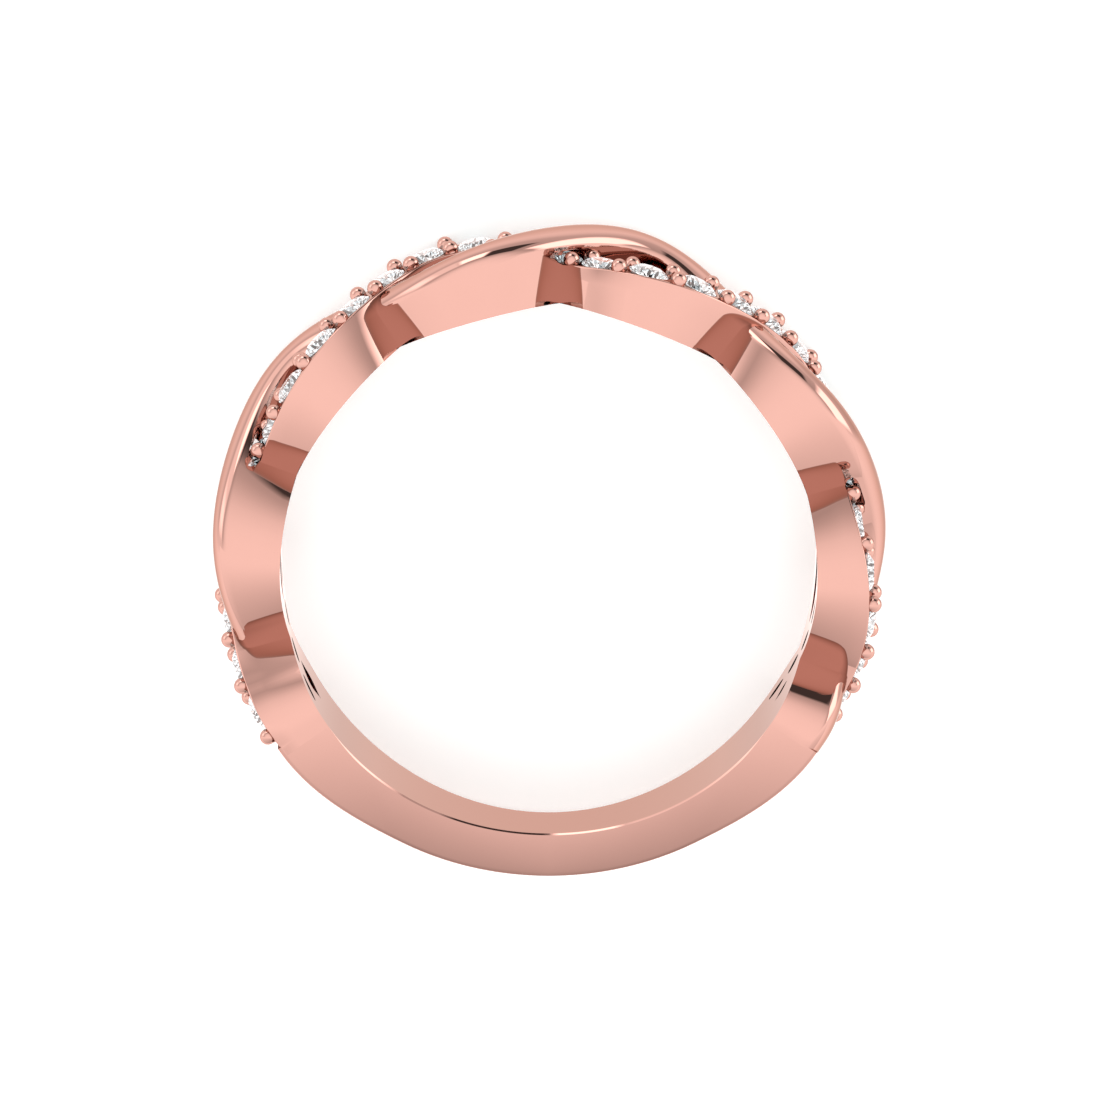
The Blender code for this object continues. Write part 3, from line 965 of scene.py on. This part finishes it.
def stageSheet(name, size, material):
    bm = bmesh.new()
    bmesh.ops.create_grid(bm, x_segments=1, y_segments=1, size=size / 2)
    mesh = meshFrom(bm, name)
    mesh.materials.append(material)
    sheet = makeObject(name, mesh)
    return sheet


# The studio: a white room, greyer towards the ring's head, with a dark gap and bright panels
studio = {
    "strength": 1.65,
    "tint": (1.15, 1.0, 0.96),
    "sheetSize": 0.6,
    # elevation in degrees and brightness, all round, towards the head and towards the foot of the ring
    "roundRamp": ((-68.0, 0.80), (-50.0, 0.95), (-30.0, 1.0)),
    "headRamp": ((-66.0, 0.89), (-48.0, 0.88), (-40.0, 0.90), (-30.0, 0.81), (-18.0, 0.56), (0.0, 0.49),
                 (23.0, 0.43), (28.0, 0.52), (33.0, 0.64), (38.0, 0.75), (44.0, 0.85), (50.0, 0.90),
                 (58.0, 0.95), (66.0, 0.98), (80.0, 1.0)),
    "headWidth": (78.0, 100.0),
    "footRamp": ((-15.0, 0.95), (0.0, 0.82), (8.0, 0.76), (24.0, 0.82), (44.0, 0.94), (60.0, 1.0)),
    "footWidth": (125.0, 160.0),
    # middle and half size in azimuth (from +Y towards +X), in height, both soft edges, brightness
    "patches": (
        ("lowGrey", 66.0, 26.0, -42.0, 16.0, (10.0, 14.0), 0.62),
        ("leftWash", -56.0, 32.0, 4.0, 18.0, (14.0, 10.0), 0.95),
        ("leftPanel", -67.0, 12.0, 2.0, 13.0, (14.0, 9.0), 1.42),
        ("rightPanel", 71.0, 19.0, -1.0, 22.0, (7.0, 6.0), 1.75),
        ("darkGap", 18.0, 18.0, 9.5, 13.5, (5.0, 3.5), 0.05),
        ("topPanel", -14.0, 12.0, 4.0, 12.0, (4.0, 4.0), 1.90),
        ("lowPanel", -130.0, 9.0, 12.0, 8.0, (4.0, 4.0), 1.28),
    ),
}
# A painted floor shadow, seen only in the metal: how far the card stands off, where it starts in height,
# and how its painted shade goes from the middle to the sides, fades beyond them and deepens along the lower
# edge
footCard = {
    "gap": 0.01 * mm,
    "start": 1.6 * mm,
    "middleShade": 0.44,
    "sideShade": 0.64,
    "sideReach": 4.5 * mm,
    "shadeReach": 10.0 * mm,
    "contactShade": 0.12,
    "contactReach": 0.6 * mm,
}


def softMask(work, value, middle, halfSize, soft):
    # 1 inside and 0 outside, with a soft edge between them
    return work.clamp((halfSize - abs(value - middle)) / soft + 0.5)


def greyRamp(work, degreesUp, stops):
    colours = [(height / 180.0 + 0.5, (value, value, value, 1.0)) for height, value in stops]
    return work.get("ShaderNodeValToRGB", {"stops": colours}, {"Fac": degreesUp / 180.0 + 0.5})


def makeStudio():
    world = bpy.data.worlds.new("studio")
    scene.world = world
    world.use_nodes = True
    world.node_tree.nodes.clear()
    work = NodeWork(world.node_tree)
    direction = work.get("ShaderNodeTexCoord", output="Generated")
    x, y, z = work.parts(direction)
    azimuth = work.maths("ARCTAN2", x, y) * (180 / pi)
    height = work.maths("ARCSINE", z) * (180 / pi)
    aside = abs(azimuth)
    narrow, wide = studio["headWidth"]
    head = work.clamp((wide - aside) / (wide - narrow))
    light = greyRamp(work, height, studio["roundRamp"])
    light = mix(light, greyRamp(work, height, studio["headRamp"]), head)
    narrow, wide = studio["footWidth"]
    foot = work.clamp((aside - narrow) / (wide - narrow))
    light = mix(light, greyRamp(work, height, studio["footRamp"]), foot)
    for name, middle, halfWidth, up, halfHeight, soft, brightness in studio["patches"]:
        across = softMask(work, azimuth, middle, halfWidth, soft[0])
        upwards = softMask(work, height, up, halfHeight, soft[1])
        light = mix(light, brightness, across * upwards)
    red, green, blue = studio["tint"]
    colour = work.get("ShaderNodeCombineColor", None, {
        "Red": light * red, "Green": light * green, "Blue": light * blue,
    })
    background = work.get("ShaderNodeBackground", None, {"Color": colour, "Strength": studio["strength"]})
    output = work.tree.nodes.new("ShaderNodeOutputWorld")
    work.tree.links.new(background.socket, output.inputs["Surface"])


def makeFootShadowCard():
    # A glowing card at the ring's foot with a painted floor shadow, darker towards the metal, as a floor in
    # shade would be
    material, work = newMaterial("footCard")
    place = work.parts(work.get("ShaderNodeTexCoord", output="Object"))
    start = ringCentre.z + footCard["start"]
    aside = abs(place[0] - ringCentre.x)
    beside = work.maths("MINIMUM", aside / footCard["sideReach"], 1.0)
    shade = mix(footCard["middleShade"], footCard["sideShade"], beside)
    beyond = work.maths("MAXIMUM", aside - footCard["sideReach"], 0.0)
    above = place[2] - start
    away = work.maths("SQRT", beyond * beyond + above * above)
    broad = work.maths("EXPONENT", -away / footCard["shadeReach"])
    contact = work.maths("EXPONENT", (start - place[2]) / footCard["contactReach"])
    # Painted shadow: the card darkens towards the ring's foot and along its lower edge
    brightness = 1.0 - shade * broad - footCard["contactShade"] * contact
    shader = work.get("ShaderNodeEmission", None, {
        "Color": (*studio["tint"], 1.0), "Strength": brightness * studio["strength"],
    })
    closeMaterial(work, shader)
    card = stageSheet("footCard", studio["sheetSize"], material)
    card.data.transform(Matrix.Rotation(pi / 2, 4, "X"))
    foot = ringCentre.y - shank["outerRadius"] - footCard["gap"]
    card.data.transform(Matrix.Translation((ringCentre.x, foot, start + studio["sheetSize"] / 2)))
    # Only the polished metal sees it
    card.visible_camera = False
    card.visible_diffuse = False
    card.visible_transmission = False
    card.visible_volume_scatter = False
    card.visible_shadow = False


def makeFloor():
    floor = stageSheet("floor", studio["sheetSize"], makeFloorFinish())
    floor.data.transform(Matrix.Translation((0.0, 0.0, cadBox[0][2])))
    floor.visible_glossy = False


lightPaths = {
    "all": 16,
    "glossy": 12,            # the strands mirror each other many times
    "transmission": 16,
}
makeCamera()
makeFloor()
makeFootShadowCard()
makeStudio()
scene.view_settings.view_transform = "Standard"
scene.cycles.max_bounces = lightPaths["all"]
scene.cycles.glossy_bounces = lightPaths["glossy"]
scene.cycles.transmission_bounces = lightPaths["transmission"]
print("camera, floor and studio ready")
